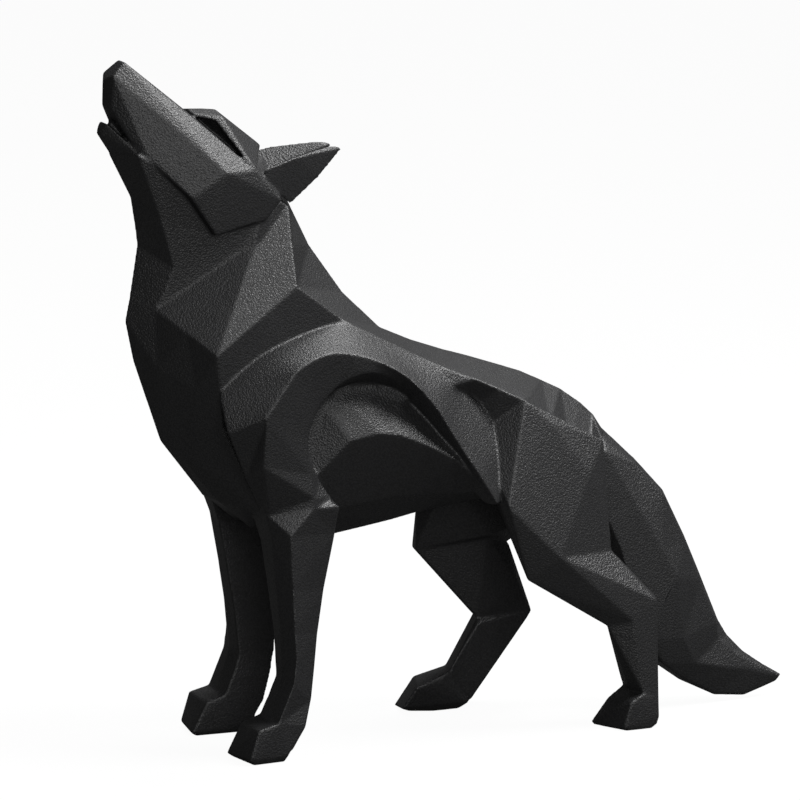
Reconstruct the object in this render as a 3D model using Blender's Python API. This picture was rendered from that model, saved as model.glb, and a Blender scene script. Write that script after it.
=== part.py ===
# Howling wolf figurine with flat facets, cast in one piece and standing on four paws.
# The wolf looks along -Y, its left side is +X, and its soles stand on z = 0.
# Corners are drawn as (x, y, z) in millimetres, with x from the middle plane of the body, and the
# main sizes stretch that drawing.

import bpy
import bmesh
from mathutils import Vector

# Main sizes of the figure, in millimetres
WIDTH = 76.0             # across the bands over the shoulders
LEG_LENGTH = 85.0        # soles to the underside of the belly
TRUNK_DEPTH = 70.0       # underside of the belly to the withers
HEAD_RISE = 95.0         # withers to the raised nose
FRONT_REACH = 74.5       # tip of the jaw to the middle of the forelegs
BODY_LENGTH = 100.0      # middle of the forelegs to the rump
TAIL_REACH = 91.0        # rump to the tip of the tail

# Finish and stance
FLAT_ANGLE = 0.02        # radians under which two facets count as one
BAND_STEPS = 4           # spline steps between two corners of the shoulder band's arch
BAND_STRAIGHT = 2        # stretches of the band below the arch, which stay straight
ANKLE_HEIGHT = 30.0
FAR_FORELEG_SHIFT = -1.0     # the far foreleg stands this much further forward
FAR_FORELEG_LEAN = -0.05     # and leans forward this much per millimetre of height


def stretched(place, drawn, sizes):
    """A place along one axis, moved on by what each size before it differs from its drawn value."""
    moved = place
    start = 0.0
    for length, size in zip(drawn, sizes):
        share = min(max((place - start) / length, 0.0), 1.0)
        moved += share * (size - length)
        start += length
    return moved


def at(point, side=1):
    """A drawn corner in metres, on the near side (1) or the far side (-1)."""
    x, y, z = point
    along = stretched(y + 114.5, (74.5, 100.0, 91.0), (FRONT_REACH, BODY_LENGTH, TAIL_REACH))
    middle = (FRONT_REACH + BODY_LENGTH + TAIL_REACH) / 2
    height = stretched(z, (85.0, 70.0, 95.0), (LEG_LENGTH, TRUNK_DEPTH, HEAD_RISE))
    return Vector((side * x * WIDTH / 76.0, along - middle, height)) / 1000


def both(*points):
    """Corners of both sides; those on the middle plane come once."""
    found = []
    for point in points:
        found.append(at(point))
        if point[0]:
            found.append(at(point, -1))
    return found


def clear_scene():
    for old in list(bpy.data.objects):
        bpy.data.objects.remove(old)


def collection(name):
    found = bpy.data.collections.new(name)
    bpy.context.scene.collection.children.link(found)
    return found


def put(name, mesh, where):
    made = bpy.data.objects.new(name, mesh)
    where.objects.link(made)
    return made


def finished(name, mesh, where):
    bmesh.ops.dissolve_limit(mesh, angle_limit=FLAT_ANGLE, verts=mesh.verts, edges=mesh.edges)
    bmesh.ops.recalc_face_normals(mesh, faces=mesh.faces)
    data = bpy.data.meshes.new(name)
    mesh.to_mesh(data)
    mesh.free()
    return put(name, data, where)


def block(name, corners, where):
    """A convex mass spanned by its corners."""
    mesh = bmesh.new()
    for corner in corners:
        mesh.verts.new(corner)
    bmesh.ops.convex_hull(mesh, input=mesh.verts)
    loose = [v for v in mesh.verts if not v.link_faces]
    bmesh.ops.delete(mesh, geom=loose, context="VERTS")
    return finished(name, mesh, where)


def loft(name, rings, where, split="SHORT_EDGE"):
    """A mass lofted through unlike sections with one count of corners; split is how quads become triangles."""
    mesh = bmesh.new()
    rows = [[mesh.verts.new(corner) for corner in ring] for ring in rings]
    count = len(rows[0])
    for low, high in zip(rows, rows[1:]):
        for i in range(count):
            j = (i + 1) % count
            mesh.faces.new((low[i], low[j], high[j], high[i]))
    mesh.faces.new(rows[0])
    mesh.faces.new(rows[-1])
    bmesh.ops.triangulate(mesh, faces=mesh.faces, quad_method=split)
    return finished(name, mesh, where)


def half_ring(points):
    """A ring from its near half, which runs from the belly to the spine."""
    near = [at(p) for p in points]
    far = [at(p, -1) for p in points if p[0]]
    return near + far[::-1]


def spline(points, steps):
    """Points of a smooth curve through the given corners."""
    found = []
    last = len(points) - 1
    for i in range(last):
        a = points[max(i - 1, 0)]
        b = points[i]
        c = points[i + 1]
        d = points[min(i + 2, last)]
        for k in range(steps):
            t = k / steps
            found.append(tuple(
                0.5 * (2 * b[n] + (c[n] - a[n]) * t + (2 * a[n] - 5 * b[n] + 4 * c[n] - d[n]) * t ** 2
                       + (3 * b[n] - a[n] - 3 * c[n] + d[n]) * t ** 3) for n in range(3)))
    return found + [points[last]]


def head(where):
    """Muzzle, cheeks, brow, ears and lower jaw."""
    # muzzle and cheeks, near side; each corner has its mirror image on the other side
    nose_crown = (3.0, -105.4, 250.0)
    nose_keel = (0.0, -112.4, 243.3)
    nose_wing = (5.0, -110.4, 245.4)
    lip_keel = (0.0, -112.6, 234.4)
    lip_side = (4.5, -111.0, 234.2)
    lip_middle = (8.0, -105.8, 223.7)
    lip_end = (9.5, -103.0, 219.0)
    muzzle_low = (12.0, -100.0, 217.2)
    jaw_angle = (18.0, -86.0, 202.3)
    muzzle_bend = (13.3, -89.3, 226.3)
    cheek_top = (19.8, -73.1, 210.8)
    cheek_low = (16.0, -76.1, 188.1)
    cheek_rear = (14.6, -56.6, 192.5)
    cheek_back = (15.0, -50.8, 199.0)
    stop = (7.3, -83.8, 231.7)
    ear_front = (16.5, -60.9, 210.6)

    # brow and crown of the head
    brow_start = (6.3, -81.0, 230.5)
    brow_peak = (10.2, -74.2, 228.2)
    brow_peak_high = (9.4, -71.2, 229.5)
    brow_low = (15.8, -65.2, 214.6)
    brow_end = (16.6, -61.3, 211.1)
    brow_ridge = (0.0, -70.3, 230.6)
    crown_back = (0.0, -53.2, 216.8)

    # ears, swept back
    ear_top_start = (15.5, -58.2, 210.5)
    ear_top_middle = (13.0, -45.2, 213.8)
    ear_top_end = (5.5, -29.4, 215.9)
    ear_point_high = (4.8, -25.2, 215.3)
    ear_point_low = (4.8, -23.9, 214.5)
    ear_low_middle = (8.0, -34.2, 205.2)
    ear_root_low = (10.0, -45.8, 196.4)
    ear_root_in = (4.0, -50.0, 207.0)

    # lower jaw and throat
    jaw_tip_high = (1.2, -113.8, 227.2)
    jaw_tip_low = (1.2, -114.5, 224.6)
    jaw_rim_front = (3.5, -112.2, 228.6)
    jaw_rim_back = (9.0, -103.6, 219.5)
    jaw_side = (10.0, -102.8, 217.4)
    throat_top = (0.0, -109.4, 216.2)

    masses = [block("muzzle", both(nose_crown, nose_keel, nose_wing, lip_keel, lip_side, lip_middle, lip_end,
                                   muzzle_low, jaw_angle, muzzle_bend, cheek_top, stop, ear_front,
                                   (7.0, -66.0, 200.0)), where)]
    masses.append(block("cheeks", both(jaw_angle, cheek_top, cheek_low, cheek_rear, cheek_back, ear_front,
                                       (8.0, -72.0, 192.0), (6.0, -50.0, 200.0), (0.0, -52.0, 213.0),
                                       (0.0, -85.0, 212.0)), where))
    masses.append(block("brow", both(brow_start, brow_peak, brow_ridge, crown_back, (0.0, -81.0, 231.4),
                                     brow_peak_high, brow_low, brow_end, (9.5, -76.0, 219.0),
                                     (8.0, -62.0, 202.0)), where))
    for side, name in ((1, "left"), (-1, "right")):
        ear = [at(p, side) for p in (ear_top_start, ear_top_middle, ear_top_end, ear_point_high, ear_point_low,
                                     ear_low_middle, ear_root_low, ear_root_in, (14.0, -55.5, 204.0),
                                     (3.6, -27.0, 214.2))]
        masses.append(block("ear_" + name, ear, where))
    masses.append(block("jaw", both(jaw_tip_high, jaw_tip_low, jaw_rim_front, jaw_rim_back, jaw_side, throat_top,
                                    (8.5, -96.0, 213.0), (0.0, -96.0, 205.0)), where))
    masses.append(block("tongue", both((1.6, -110.0, 226.0), (1.6, -110.0, 236.0), (1.6, -96.0, 222.0),
                                       (1.6, -96.0, 212.0)), where))
    return masses


def trunk(where):
    """Neck, chest, ribs, back and rump as one loft from the skull to the tail."""
    rings = [
        # keel, front crease, lower side, side ridge, upper side, back crease, spine
        ((0, -97, 216), (5, -94, 217), (8, -88, 214), (10, -76, 207), (9, -66, 205), (8, -56, 205), (0, -52, 208)),
        ((0, -110.3, 217), (11.6, -104.0, 218.4), (13.4, -93.5, 211.8), (12, -80, 203), (11, -64, 201), (9, -54, 201),
         (0, -49, 202)),
        ((0, -102.4, 201.2), (10.3, -95.0, 194.8), (12.0, -74.6, 187.0), (14.3, -59.0, 191.7), (12.5, -54, 194),
         (11.6, -50, 198), (0, -44.5, 198.5)),
        ((0, -100.8, 191), (9.7, -91.7, 184.0), (12.5, -65.9, 181.4), (14.4, -61.3, 182.5), (13.7, -57.5, 185.3),
         (10.6, -47.5, 196.3), (0, -43.2, 196.4)),
        ((0, -100, 184), (9.2, -89.5, 176.5), (10.8, -74.7, 175.4), (17.3, -65.7, 174.2), (14.1, -56.7, 184.9),
         (11.1, -46.7, 195.4), (0, -42.1, 194.5)),
        ((0, -103.1, 164.8), (8.0, -92.5, 168.0), (9.1, -84.2, 169.1), (20.9, -71.1, 164.2), (18.7, -60.2, 173.4),
         (16.8, -47.6, 182.4), (0, -35, 180)),
        ((0, -104.7, 157), (7.0, -95.7, 161.5), (17.0, -87.9, 154.3), (27, -80.2, 147.1), (24.8, -63.7, 158.4),
         (22.7, -48.3, 169.1), (0, -22, 161.8)),
        ((0, -101.7, 142.4), (8.5, -95.5, 140.5), (18, -84.5, 134), (24.3, -77.8, 133), (21.5, -50.6, 146.5),
         (18, -29.6, 155.6), (0, -7.7, 148.1)),
        ((0, -91.7, 113), (4, -87, 109.6), (9.3, -81.2, 105.5), (20.8, -76.1, 119.5), (22, -42, 139),
         (19.5, -14.5, 147.8), (0, 3.9, 142.9)),
        ((0, -75.7, 92.1), (8, -73, 91.2), (16, -67.8, 90.6), (23, -62, 89.2), (25, -42, 132),
         (20.5, -3.5, 142), (0, 16.6, 138.4)),
        ((0, -61, 83), (8, -60.5, 80.5), (18, -56, 84), (26, -48, 96), (26, -39, 126),
         (21, 3, 138.6), (0, 22, 136.8)),
        ((0, -31, 75.6), (8, -29, 75.8), (20, -29.5, 88.2), (31.5, -31.5, 114.2), (26, -32.9, 129.3),
         (21.3, 8, 136.2), (0, 27.1, 135.2)),
        ((0, -19, 77.4), (8, -17, 77.6), (20, -17.1, 89.4), (32, -20.7, 116.1), (25.5, -21.6, 129.4),
         (22, 14, 133.5), (0, 33, 133.2)),
        ((0, -9, 79), (8, -7, 79.2), (20, -8.8, 90.4), (32, -13, 114.9), (25.5, -10.5, 125.7),
         (22.5, 20, 131.2), (0, 40, 130.8)),
        ((0, 2, 81), (8, 3, 81.2), (20, 0.6, 90.5), (32, -3.2, 110.8), (16.5, 20, 121),
         (23.5, 29, 127), (0, 46.6, 128.5)),
        ((0, 12, 82.5), (8, 12.5, 82.7), (20, 12.3, 89.6), (32.5, 8, 104.8), (18.5, 27, 111),
         (24.5, 38.2, 122.4), (0, 55, 124.5)),
        ((0, 24, 84), (8, 24, 84), (20, 23.4, 87.8), (30, 22, 92), (23.5, 29.5, 99),
         (25.2, 47.8, 113.5), (0, 62.3, 120.9)),
        ((0, 40, 85), (6, 40, 85), (14, 42, 86), (20, 44, 88), (22, 48, 94),
         (25.3, 55.8, 102.4), (0, 70, 115.4)),
        ((0, 58, 85), (5, 58, 85), (10, 60, 86), (16, 61, 88), (20, 63, 91),
         (24.6, 63.5, 96), (0, 75, 110.8)),
        ((0, 64, 86), (4, 64, 86), (8, 65, 87), (12, 66, 90), (15, 67, 96),
         (19.6, 70.8, 104.6), (0, 79.2, 104.2)),
    ]
    return [loft("trunk", [half_ring(ring) for ring in rings], where)]


def shoulder_band(side, name, where):
    """The arched band that runs from the foreleg over the ribs to the flank."""
    outer = [(23.5, -62.5, 89.3), (26, -69.5, 102.3), (31, -78, 120), (28, -78.8, 127.5), (24, -77.2, 135.2),
             (22.5, -63.8, 145.1), (21.4, -50.5, 150.2), (18.3, -33, 154.2), (18.5, -23.5, 152.5),
             (20.2, -8, 144.5), (20, 8.2, 136.1), (18, 17.3, 128.9), (19, 26.5, 117.4), (21.5, 30.7, 106.3),
             (24.8, 30.1, 96.9), (30, 26.5, 86.9)]
    inner = [(28.5, -61.5, 89.5), (35.5, -66, 108), (38, -65.7, 126.2), (37.8, -62.5, 130.5), (37.2, -57, 137.6),
             (36.5, -52.6, 142.5), (35.5, -43.6, 146.3), (35, -35.8, 146.6), (34.5, -24, 143.4),
             (34.5, -11.3, 136.3), (34.5, -1, 125.6), (34.5, 5.5, 115.7), (34.5, 11, 107), (34.5, 15.5, 100.5),
             (34, 19.5, 94.5), (33, 24.1, 87.6)]
    edge = [(33, -45.7, 91), (33, -45.9, 95), (32.5, -47.1, 103.5), (32.5, -48, 113.2), (32.5, -47.1, 119.7),
            (32.5, -44.2, 126.7), (32.5, -39.5, 131.9), (33, -33.9, 136.2), (33.7, -23.5, 138.6),
            (29, -11, 132.6), (28.5, -1.4, 122), (28.8, 5.2, 112.4), (29.5, 10.6, 104.3), (30.3, 15, 98),
            (30.5, 19, 92.3), (30.5, 23.4, 86.6)]
    under = [(27, -33.5, 89), (28.3, -37.3, 93.2), (28.5, -42.5, 100.5), (27.5, -46, 112), (25, -45.5, 119),
             (21, -41.5, 124.5), (18, -37, 127.5), (17, -31, 129.5), (17, -21, 129.5),
             (17, -10, 125), (18, -1, 116), (20, 5, 109), (22, 10, 101), (24, 15, 95),
             (24, 19, 90), (24, 23, 86)]
    deep = [(14, -40, 87), (13, -45, 96), (11, -55, 117), (11, -60, 123), (11, -60, 130),
            (11, -56, 136), (11, -48, 140), (11, -34, 143), (11, -24, 141),
            (11, -9, 135), (12, 5, 128), (12, 15, 121), (12, 27, 113), (16, 29, 105),
            (20, 28, 96), (24, 25, 86.6)]
    lines = [line[:BAND_STRAIGHT] + spline(line[BAND_STRAIGHT:], BAND_STEPS)
             for line in (outer, inner, edge, under, deep)]
    rings = [[at(p, side) for p in ring] for ring in zip(*lines)]
    return loft("band_" + name, rings, where, split="FIXED")


def foreleg(side, name, shift, lean, where):
    """Upper leg, pastern and paw; shift moves the leg along the body, lean is its slope above the ankle."""
    def moved(points):
        return [at((x, y + shift + lean * max(z - ANKLE_HEIGHT, 0), z), side) for x, y, z in points]
    # inner front, front crease, outer corner, outer back, inner back
    rings = [
        ((14, -58, 96), (24, -62, 98), (28, -50, 98), (26, -46, 98), (16, -42, 96)),
        ((15, -62.6, 87), (27.5, -62.4, 89.5), (33, -46.1, 91.1), (31, -35.6, 90.8), (16, -30, 86)),
        ((16, -60, 77.7), (26.5, -59.6, 80), (34, -55.2, 81.9), (28.5, -36.9, 80.6), (16, -31.5, 78)),
        ((16.6, -57.4, 59.5), (25.5, -57.6, 62), (33.2, -54.1, 62.5), (27.5, -40.5, 60.1), (17, -36.2, 58.5)),
        ((17, -55.4, 43.8), (25.2, -56, 46.5), (33.2, -53.4, 46.8), (27.5, -42.8, 44.7), (17.5, -39, 43.5)),
        ((17, -54.6, 28.5), (25, -55.4, 30), (33.5, -52.9, 37), (28, -44.3, 31), (17.5, -40.6, 29.5)),
        ((16.4, -57.4, 21.2), (25, -57.4, 23), (34, -54.2, 28.4), (29, -45.8, 21), (17, -42.6, 20)),
        ((16, -60.4, 14.7), (25, -60.6, 14.8), (34, -60, 14.8), (31.5, -48.8, 12), (17, -45, 11)),
        ((17, -61, 4), (25, -61, 4), (33, -60, 4), (32, -54, 4), (18, -49.5, 4)),
    ]
    leg = loft("foreleg_" + name, [moved(ring) for ring in rings], where)
    paw = block("forepaw_" + name, moved([
        (16, -60.2, 14.7), (16, -67.5, 12.3), (34, -67.6, 12.8), (34, -59.9, 14.7), (31.5, -50, 12), (17, -46.5, 10),
        (16, -73.2, 1.4), (34, -70.9, 2.2), (17.5, -71, 0), (33, -69, 0),
        (33, -56, 2.4), (31.5, -57, 0), (17.5, -51, 0), (17, -49.5, 2.4)]), where)
    return [leg, paw]


def near_hind_leg(where):
    """Thigh, shank, hock and paw of the leg that stands back."""
    thigh = [(10, 20, 120), (24.5, 38.4, 122.6), (25.3, 47.9, 113.6), (26.5, 63, 94.2), (35, 48, 66.3),
             (34, 28.2, 86), (28, 27, 87), (20, 71, 104.8), (25.5, 69.5, 80), (27, 71.2, 65.6),
             (30, 37.2, 58), (20, 41.3, 55.9), (10, 48, 66), (8, 30, 92), (6, 62, 100), (12, 68, 72)]
    shank = [(33.5, 38, 72), (35, 48, 66.3), (30, 37.2, 58), (20, 41.3, 55.9), (15, 58, 70), (27, 71.2, 65.6),
             (17, 68, 66), (33, 77.5, 40.3), (29, 68.8, 38.4), (19, 72.8, 36.8), (31, 87.4, 46.6), (19, 92.2, 45.3)]
    cannon = [(33, 77.5, 40.3), (29, 68.8, 38.4), (19, 72.8, 36.8), (31, 87.4, 46.6), (19, 92.2, 45.3),
              (33, 79.2, 32.3), (19, 74.9, 31), (33, 80.9, 14.2), (18.5, 79.4, 13.7), (33, 87.4, 7),
              (19, 92.8, 8), (27, 72.5, 31.5), (26.5, 78.5, 14)]
    paw = [(33.5, 81.2, 13.2), (18.5, 79.4, 13.7), (34, 76.2, 10.6), (17, 74, 9), (34, 73.5, 1.2), (17, 67.4, 0.6),
           (19, 67.5, 0), (33.3, 74.8, 0), (33, 84.5, 0), (27.3, 89.2, 0), (33.3, 87.4, 4), (19, 92.4, 0), (19, 93, 10),
           (33, 87.3, 10)]
    parts = (("thigh_left", thigh), ("shank_left", shank), ("cannon_left", cannon), ("hindpaw_left", paw))
    return [block(n, [at(p) for p in points], where) for n, points in parts]


def far_hind_leg(where):
    """Thigh, shank, hock and paw of the leg that is drawn forward."""
    thigh = [(10, 20, 120), (24.5, 38.4, 122.6), (25.3, 47.9, 113.6), (26.5, 63, 94.2), (34, 42, 70),
             (33.5, 24, 84), (31, 20, 87), (20, 71, 104.8), (23, 66, 80), (18, 50, 62), (33, 18, 59.4),
             (20, 14, 61), (20, 14.3, 74.7), (8, 22, 90), (6, 62, 100), (12, 60, 72), (12, 40, 66)]
    shank = [(33, 18, 59.4), (20, 14, 61), (34, 42, 70), (18, 51.2, 54.9), (18, 50, 61), (14, 40, 66), (32, 50, 60),
             (18, 53.7, 46.2), (33, 42.4, 33.4), (20, 38.1, 33.8), (33, 57, 37), (22, 60.8, 34.2), (32, 56, 46)]
    cannon = [(33, 42.4, 33.4), (20, 38.1, 33.8), (33, 57, 37), (22, 60.8, 34.2), (33, 42.3, 30.1), (18, 38, 32.2),
              (33, 31.2, 14.3), (18, 27, 16.2), (33, 42, 6), (20, 35.8, 3.4), (33, 40.6, 3)]
    paw = [(33, 31, 14.2), (18, 26.8, 15.6), (33, 28.1, 11.4), (17, 22.8, 12.4), (34.5, 19.1, 10.8), (17, 13.4, 10.6),
           (35.5, 12, 0.3), (19, 8.5, 2.6), (35, 13, 0), (25.5, 13.8, 0), (22, 22.6, 0), (33, 37.5, 0), (22.5, 31.9, 0),
           (33, 40.6, 3), (22, 35.8, 2.2), (18.5, 34.2, 3.2)]
    parts = (("thigh_right", thigh), ("shank_right", shank), ("cannon_right", cannon), ("hindpaw_right", paw))
    return [block(n, [at(p, -1) for p in points], where) for n, points in parts]


def tail(where):
    """The hanging tail, from the rump to its turned-up tip."""
    # top line, upper side, side ridge, lower side, bottom line
    rings = [
        ((0, 66, 109), (5, 66, 107), (9, 66, 100), (9, 64, 90), (0, 62, 84)),
        ((0, 79.2, 104.8), (5, 77.6, 102), (9, 76.6, 98.2), (10, 71, 86), (0, 68, 80)),
        ((0, 91.2, 93.4), (5, 89.9, 91.9), (9.8, 83.6, 86.1), (10.5, 76.5, 74), (0, 73, 68)),
        ((0, 102.9, 80.5), (5, 101.2, 79.8), (10.6, 90.5, 74), (11, 82, 62), (0, 78, 56)),
        ((0, 111.6, 62.8), (5, 109.6, 62), (11.4, 98, 61), (12, 87, 42), (0, 84, 38)),
        ((0, 118.1, 47.7), (5, 115.8, 46.5), (12, 103.9, 49.8), (12.5, 92, 28), (0, 89, 24)),
        ((0, 125, 31.1), (5, 122.8, 30), (11.5, 106.5, 27), (10.5, 99, 18), (0, 98, 17.5)),
        ((0, 128.9, 24.6), (4.5, 123.4, 24), (9, 112.5, 17), (7, 109, 10.5), (0, 110, 9)),
        ((0, 135.4, 17.8), (4, 129.6, 18.8), (7.2, 124, 14), (4.5, 122, 3.6), (0, 124, 2.1)),
        ((0, 143.2, 12.3), (2.6, 139.6, 12.8), (4, 136.4, 11.3), (2.6, 134.5, 1.9), (0, 136, 0.9)),
        ((0, 151, 7.6), (0.8, 150.4, 7.4), (1.1, 149.6, 6.8), (0.8, 148.8, 5.4), (0, 148.6, 5.2)),
    ]
    return [loft("tail", [half_ring(ring) for ring in rings], where)]


def eye_recesses(body, where):
    """Cuts the long recess under each brow."""
    for side, name in ((1, "left"), (-1, "right")):
        outer = ((22, -86.9, 232.3), (22, -78.6, 230.3), (24, -68.2, 216.2), (24, -68.8, 215.9))
        inner = ((1.5, -79.2, 228.8), (9, -73.7, 228.1), (13, -64.0, 214.3), (8, -62.7, 213.1))
        cutter = block("eye_" + name, [at(p, side) for p in outer + inner], where)
        cutter.hide_render = True
        cutter.display_type = "WIRE"
        boolean(body, cutter, "DIFFERENCE")


def boolean(body, other, operation):
    made = body.modifiers.new(operation.lower() + "_" + other.name, "BOOLEAN")
    made.object = other
    made.operation = operation
    made.solver = "EXACT"
    other.hide_render = True
    other.display_type = "WIRE"


def resin():
    made = bpy.data.materials.new("resin")
    made.use_nodes = True
    shader = made.node_tree.nodes["Principled BSDF"]
    shader.inputs["Base Color"].default_value = (0.02, 0.02, 0.022, 1)
    shader.inputs["Roughness"].default_value = 0.55
    return made


def build():
    clear_scene()
    wolf_parts = collection("wolf_figurine")
    helpers = collection("helpers")
    masses = head(helpers) + trunk(helpers) + tail(helpers)
    for side, name, shift, lean in ((1, "left", 0.0, 0.0), (-1, "right", FAR_FORELEG_SHIFT, FAR_FORELEG_LEAN)):
        masses.append(shoulder_band(side, name, helpers))
        masses += foreleg(side, name, shift, lean, helpers)
    masses += near_hind_leg(helpers) + far_hind_leg(helpers)
    body = masses.pop(0)
    body.name = "wolf"
    helpers.objects.unlink(body)
    wolf_parts.objects.link(body)
    for mass in masses:
        boolean(body, mass, "UNION")
    eye_recesses(body, helpers)
    body.data.materials.append(resin())


build()
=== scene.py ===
import math
import bpy
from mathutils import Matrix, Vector


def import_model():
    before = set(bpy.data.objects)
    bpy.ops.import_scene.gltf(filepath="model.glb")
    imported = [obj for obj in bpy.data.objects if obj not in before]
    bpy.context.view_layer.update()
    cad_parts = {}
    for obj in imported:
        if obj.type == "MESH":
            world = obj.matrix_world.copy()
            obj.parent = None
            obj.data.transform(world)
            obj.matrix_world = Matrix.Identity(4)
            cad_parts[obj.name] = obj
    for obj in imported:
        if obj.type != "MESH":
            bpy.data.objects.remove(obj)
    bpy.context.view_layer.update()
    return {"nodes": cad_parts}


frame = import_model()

# Lengths are in metres and lamp powers in watts

# Softened surface
VOXEL = 0.00042          # grid that the solid is remeshed on
SOFTEN_STEPS = 13        # smoothing passes that round the facet edges
SOFTEN_FACTOR = 0.5      # how far each pass moves a point
EASE_STEPS = 60          # further passes along the two stretches below
KEEP = 0.13              # share of the grid's triangles that is kept at the end
# Stretches on the left side: both ends, then the distances where the evening is full and where it ends
BAND_TWIST = (Vector((0.027, -0.026, 0.139)), Vector((0.026, -0.001, 0.117)), 0.004, 0.007)
HOLLOW_SEAM = (Vector((0.0255, -0.054, 0.1275)), Vector((0.024, -0.040, 0.132)), 0.0018, 0.0035)

# Resin
GRAIN = 0.00065          # spacing of the cast grain's pebbles
SAND = GRAIN / 1.4       # spacing of the finer texture between them
GRAIN_DEPTH = 0.0005
GRAIN_STRENGTH = 0.38
PATCHES_PER_METRE = 28
PATCH_DARK, PATCH_LIGHT = (0.026, 0.026, 0.027), (0.034, 0.034, 0.035)
PIT_BLACK = (0.008, 0.008, 0.009)
PIT_SHARE = 0.8
# Painted highlight: a lighter grey laid on the sharp edges, standing in for the lit line along them
EDGE_HIGHLIGHT_GREY = (0.06, 0.06, 0.062)
EDGE_HIGHLIGHT_SHARE = 0.3
PEBBLE_ROUGHNESS, PIT_ROUGHNESS_GAIN = 0.41, 0.12

# Studio
GLOSS_SHARE = 0.02       # how much of the white backdrop the dull resin mirrors
FLOOR_SIZE = 12
FLOOR_TONE = 0.06
FLOOR_WHITE, SKY_WHITE = 0.96, 0.97
SKY_LIGHT = 0.03
LAMP_AIM = Vector((0.0, 0.0, 0.12))
LAMPS = (                # name, place, side of the square, power
    ("key", Vector((0.29, 0.51, 0.93)), 0.4, 9.6),
    ("top", Vector((-0.25, 0.18, 1.07)), 0.4, 4.9),
    ("fill", Vector((0.93, -0.2, 0.43)), 0.5, 1.9),
)

# Camera: the photograph's angle, from far away with a long lens
AZIMUTH = math.radians(68)
ELEVATION = math.radians(11)
DISTANCE = 3.0
TARGET = Vector((0.0, -0.01825, 0.121))
LENS, SENSOR = 377.0, 36.0    # millimetres, as Blender has them


def link(tree, a, b):
    tree.links.new(a, b)


def node(tree, kind, **values):
    made = tree.nodes.new(kind)
    for name, value in values.items():
        setattr(made, name, value)
    return made


def math_node(tree, operation, a, b=None, clamp=False):
    made = node(tree, "ShaderNodeMath", operation=operation, use_clamp=clamp)
    for socket, value in zip(made.inputs, (a, b)):
        if isinstance(value, (int, float)):
            socket.default_value = value
        elif value is not None:
            link(tree, value, socket)
    return made.outputs[0]


def vector_node(tree, operation, a, b, output="Vector"):
    made = node(tree, "ShaderNodeVectorMath", operation=operation)
    for socket, value in zip(made.inputs, (a, b)):
        if isinstance(value, Vector):
            socket.default_value = value
        else:
            link(tree, value, socket)
    return made.outputs[output]


def ramp(tree, value, low, high, start, end):
    """Goes from start to end while the value goes from low to high."""
    made = node(tree, "ShaderNodeMapRange")
    for name, number in (("From Min", low), ("From Max", high), ("To Min", start), ("To Max", end)):
        made.inputs[name].default_value = number
    link(tree, value, made.inputs["Value"])
    return made.outputs["Result"]


def mixed(tree, factor, low, high):
    """A colour between two, or between a colour and another node's colour."""
    made = node(tree, "ShaderNodeMix", data_type="RGBA")
    link(tree, factor, made.inputs[0])
    for socket, value in ((made.inputs[6], low), (made.inputs[7], high)):
        if isinstance(value, tuple):
            socket.default_value = (*value, 1)
        else:
            link(tree, value, socket)
    return made.outputs[2]


def texture(tree, kind, place, settings, **values):
    made = node(tree, kind, **values)
    for name, number in settings.items():
        made.inputs[name].default_value = number
    link(tree, place, made.inputs["Vector"])
    return made


def resin():
    """Matte black cast resin with a fine pebbled grain."""
    made = bpy.data.materials.new("black_resin")
    made.use_nodes = True
    tree = made.node_tree
    shader = tree.nodes["Principled BSDF"]
    place = node(tree, "ShaderNodeTexCoord").outputs["Object"]
    # Grain: small pebbles over a finer sanded texture
    pebbles = texture(tree, "ShaderNodeTexVoronoi", place, {"Scale": 1 / GRAIN, "Smoothness": 0.7},
                      feature="SMOOTH_F1").outputs["Distance"]
    sand = texture(tree, "ShaderNodeTexNoise", place, {"Scale": 1 / SAND, "Detail": 2}).outputs["Fac"]
    bump = node(tree, "ShaderNodeBump")
    bump.inputs["Strength"].default_value = GRAIN_STRENGTH
    bump.inputs["Distance"].default_value = GRAIN_DEPTH
    link(tree, math_node(tree, "SUBTRACT", sand, pebbles), bump.inputs["Height"])
    link(tree, bump.outputs["Normal"], shader.inputs["Normal"])
    # Colour: nearly black in slow patches, darker between the pebbles, and a painted highlight of lighter grey
    # on the sharp edges
    clouds = texture(tree, "ShaderNodeTexNoise", place, {"Scale": PATCHES_PER_METRE, "Detail": 4}).outputs["Fac"]
    patches = mixed(tree, clouds, PATCH_DARK, PATCH_LIGHT)
    pit = ramp(tree, pebbles, 0.25, 0.65, 0.0, PIT_SHARE)
    grained = mixed(tree, pit, patches, PIT_BLACK)
    # Painted highlight: pointed edges are coloured lighter, as if light caught them
    edge = node(tree, "ShaderNodeNewGeometry").outputs["Pointiness"]
    edge_highlight = ramp(tree, edge, 0.53, 0.68, 0.0, EDGE_HIGHLIGHT_SHARE)
    link(tree, mixed(tree, edge_highlight, grained, EDGE_HIGHLIGHT_GREY), shader.inputs["Base Color"])
    # Roughness: pebble tops rubbed smoother than the pits between them
    rough = math_node(tree, "ADD", math_node(tree, "MULTIPLY", pit, PIT_ROUGHNESS_GAIN), PEBBLE_ROUGHNESS)
    link(tree, rough, shader.inputs["Roughness"])
    shader.inputs["Specular IOR Level"].default_value = 1.0
    return made


def stretch_weight(tree, place, start, end, core, rim):
    """1 within core of the line from start to end, 0 beyond rim."""
    offset = vector_node(tree, "SUBTRACT", place, start)
    along = end - start
    share = math_node(tree, "DIVIDE", vector_node(tree, "DOT_PRODUCT", offset, along, "Value"),
                      along.length_squared, clamp=True)
    foot = node(tree, "ShaderNodeVectorMath", operation="SCALE")
    foot.inputs[0].default_value = along
    link(tree, share, foot.inputs["Scale"])
    return ramp(tree, vector_node(tree, "DISTANCE", offset, foot.outputs[0], "Value"), core, rim, 1.0, 0.0)


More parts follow.
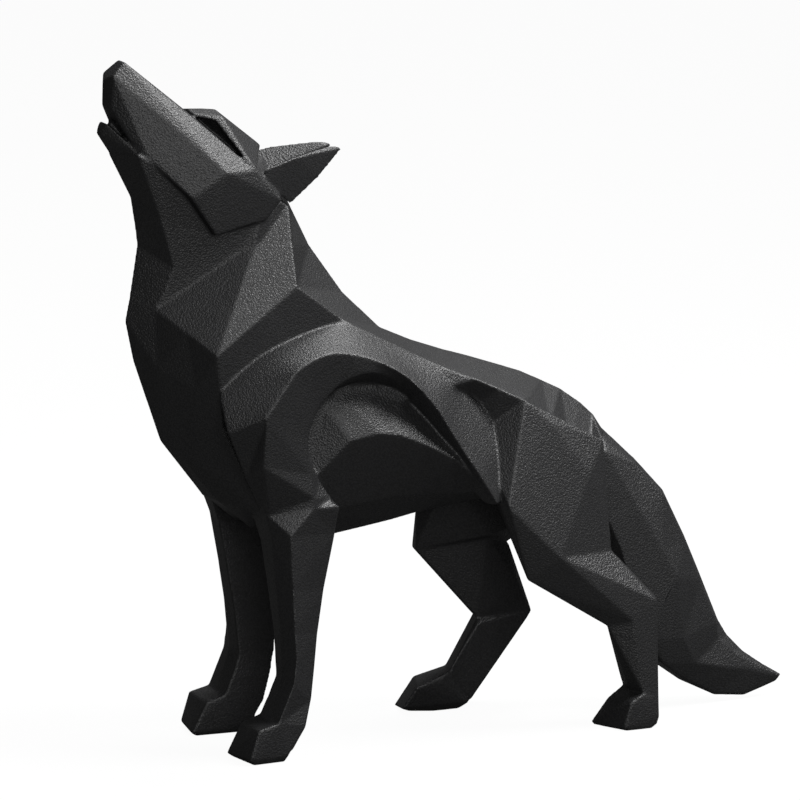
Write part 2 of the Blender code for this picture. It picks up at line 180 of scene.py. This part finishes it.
def ease_nodes():
    """Nodes that even out the two stretches on both sides of the body."""
    tree = bpy.data.node_groups.new("ease", "GeometryNodeTree")
    for way in ("INPUT", "OUTPUT"):
        tree.interface.new_socket("Geometry", in_out=way, socket_type="NodeSocketGeometry")
    start, end = node(tree, "NodeGroupInput"), node(tree, "NodeGroupOutput")
    place = node(tree, "GeometryNodeInputPosition").outputs["Position"]
    # The right side is measured as the left one: x without its sign
    apart = node(tree, "ShaderNodeSeparateXYZ")
    link(tree, place, apart.inputs[0])
    folded = node(tree, "ShaderNodeCombineXYZ")
    link(tree, math_node(tree, "ABSOLUTE", apart.outputs["X"]), folded.inputs["X"])
    link(tree, apart.outputs["Y"], folded.inputs["Y"])
    link(tree, apart.outputs["Z"], folded.inputs["Z"])
    weights = [stretch_weight(tree, folded.outputs[0], *stretch) for stretch in (BAND_TWIST, HOLLOW_SEAM)]
    blur = node(tree, "GeometryNodeBlurAttribute", data_type="FLOAT_VECTOR")
    link(tree, place, next(socket for socket in blur.inputs if socket.enabled and socket.name == "Value"))
    blur.inputs["Iterations"].default_value = EASE_STEPS
    link(tree, math_node(tree, "MAXIMUM", *weights), blur.inputs["Weight"])
    move = node(tree, "GeometryNodeSetPosition")
    link(tree, start.outputs[0], move.inputs["Geometry"])
    link(tree, next(socket for socket in blur.outputs if socket.enabled), move.inputs["Position"])
    link(tree, move.outputs[0], end.inputs[0])
    return tree


def dress(obj):
    """Rounds the facet edges as the casting has them, and gives the resin its look."""
    remesh = obj.modifiers.new("soft_grid", "REMESH")
    remesh.mode = "VOXEL"
    remesh.voxel_size = VOXEL
    remesh.use_smooth_shade = True
    smooth = obj.modifiers.new("soft_edges", "SMOOTH")
    smooth.factor = SOFTEN_FACTOR
    smooth.iterations = SOFTEN_STEPS
    ease = obj.modifiers.new("ease", "NODES")
    ease.node_group = ease_nodes()
    thin = obj.modifiers.new("fewer_triangles", "DECIMATE")
    thin.ratio = KEEP
    obj.data.materials.clear()
    obj.data.materials.append(resin())


def backdrop_rays(tree):
    """1 for rays that look at the backdrop, straight or through glass, a little for gloss, and 0 for others."""
    path = node(tree, "ShaderNodeLightPath").outputs
    straight = math_node(tree, "MAXIMUM", path["Is Camera Ray"], path["Is Transmission Ray"])
    glossy = math_node(tree, "MULTIPLY", path["Is Glossy Ray"], GLOSS_SHARE)
    return math_node(tree, "MAXIMUM", straight, glossy)


def floor():
    """White floor that keeps a faint shadow."""
    bpy.ops.mesh.primitive_plane_add(size=FLOOR_SIZE)
    made = bpy.context.object
    made.name = "floor"
    material = bpy.data.materials.new("floor_white")
    material.use_nodes = True
    tree = material.node_tree
    shader = tree.nodes["Principled BSDF"]
    shader.inputs["Base Color"].default_value = (FLOOR_TONE, FLOOR_TONE, FLOOR_TONE, 1)
    shader.inputs["Roughness"].default_value = 0.9
    shader.inputs["Specular IOR Level"].default_value = 0.0
    shader.inputs["Emission Color"].default_value = (1, 1, 1, 1)
    link(tree, math_node(tree, "MULTIPLY", backdrop_rays(tree), FLOOR_WHITE), shader.inputs["Emission Strength"])
    made.data.materials.append(material)


def world():
    made = bpy.data.worlds.new("studio")
    bpy.context.scene.world = made
    made.use_nodes = True
    tree = made.node_tree
    sky = tree.nodes["Background"]
    sky.inputs["Color"].default_value = (1, 1, 1, 1)
    seen = math_node(tree, "MULTIPLY", backdrop_rays(tree), SKY_WHITE)
    link(tree, math_node(tree, "ADD", seen, SKY_LIGHT), sky.inputs["Strength"])


def put(name, data, place, facing):
    """Puts a lamp or the camera at a place, looking along a direction."""
    made = bpy.data.objects.new(name, data)
    bpy.context.scene.collection.objects.link(made)
    made.location = place
    made.rotation_mode = "QUATERNION"
    made.rotation_quaternion = facing.to_track_quat("-Z", "Y")
    return made


def lamp(name, place, side, power):
    data = bpy.data.lights.new(name, "AREA")
    data.shape = "RECTANGLE"
    data.size = data.size_y = side
    data.energy = power
    put(name, data, place, LAMP_AIM - place)


def camera():
    data = bpy.data.cameras.new("camera")
    data.lens = LENS
    data.sensor_width = SENSOR
    data.clip_start, data.clip_end = 0.1, 50
    back = Vector((math.sin(AZIMUTH) * math.cos(ELEVATION), -math.cos(AZIMUTH) * math.cos(ELEVATION),
                   math.sin(ELEVATION)))
    bpy.context.scene.camera = put("camera", data, TARGET + back * DISTANCE, -back)


dress(frame["nodes"]["wolf"])
floor()
world()
for values in LAMPS:
    lamp(*values)
camera()
bpy.context.scene.view_settings.view_transform = "Standard"
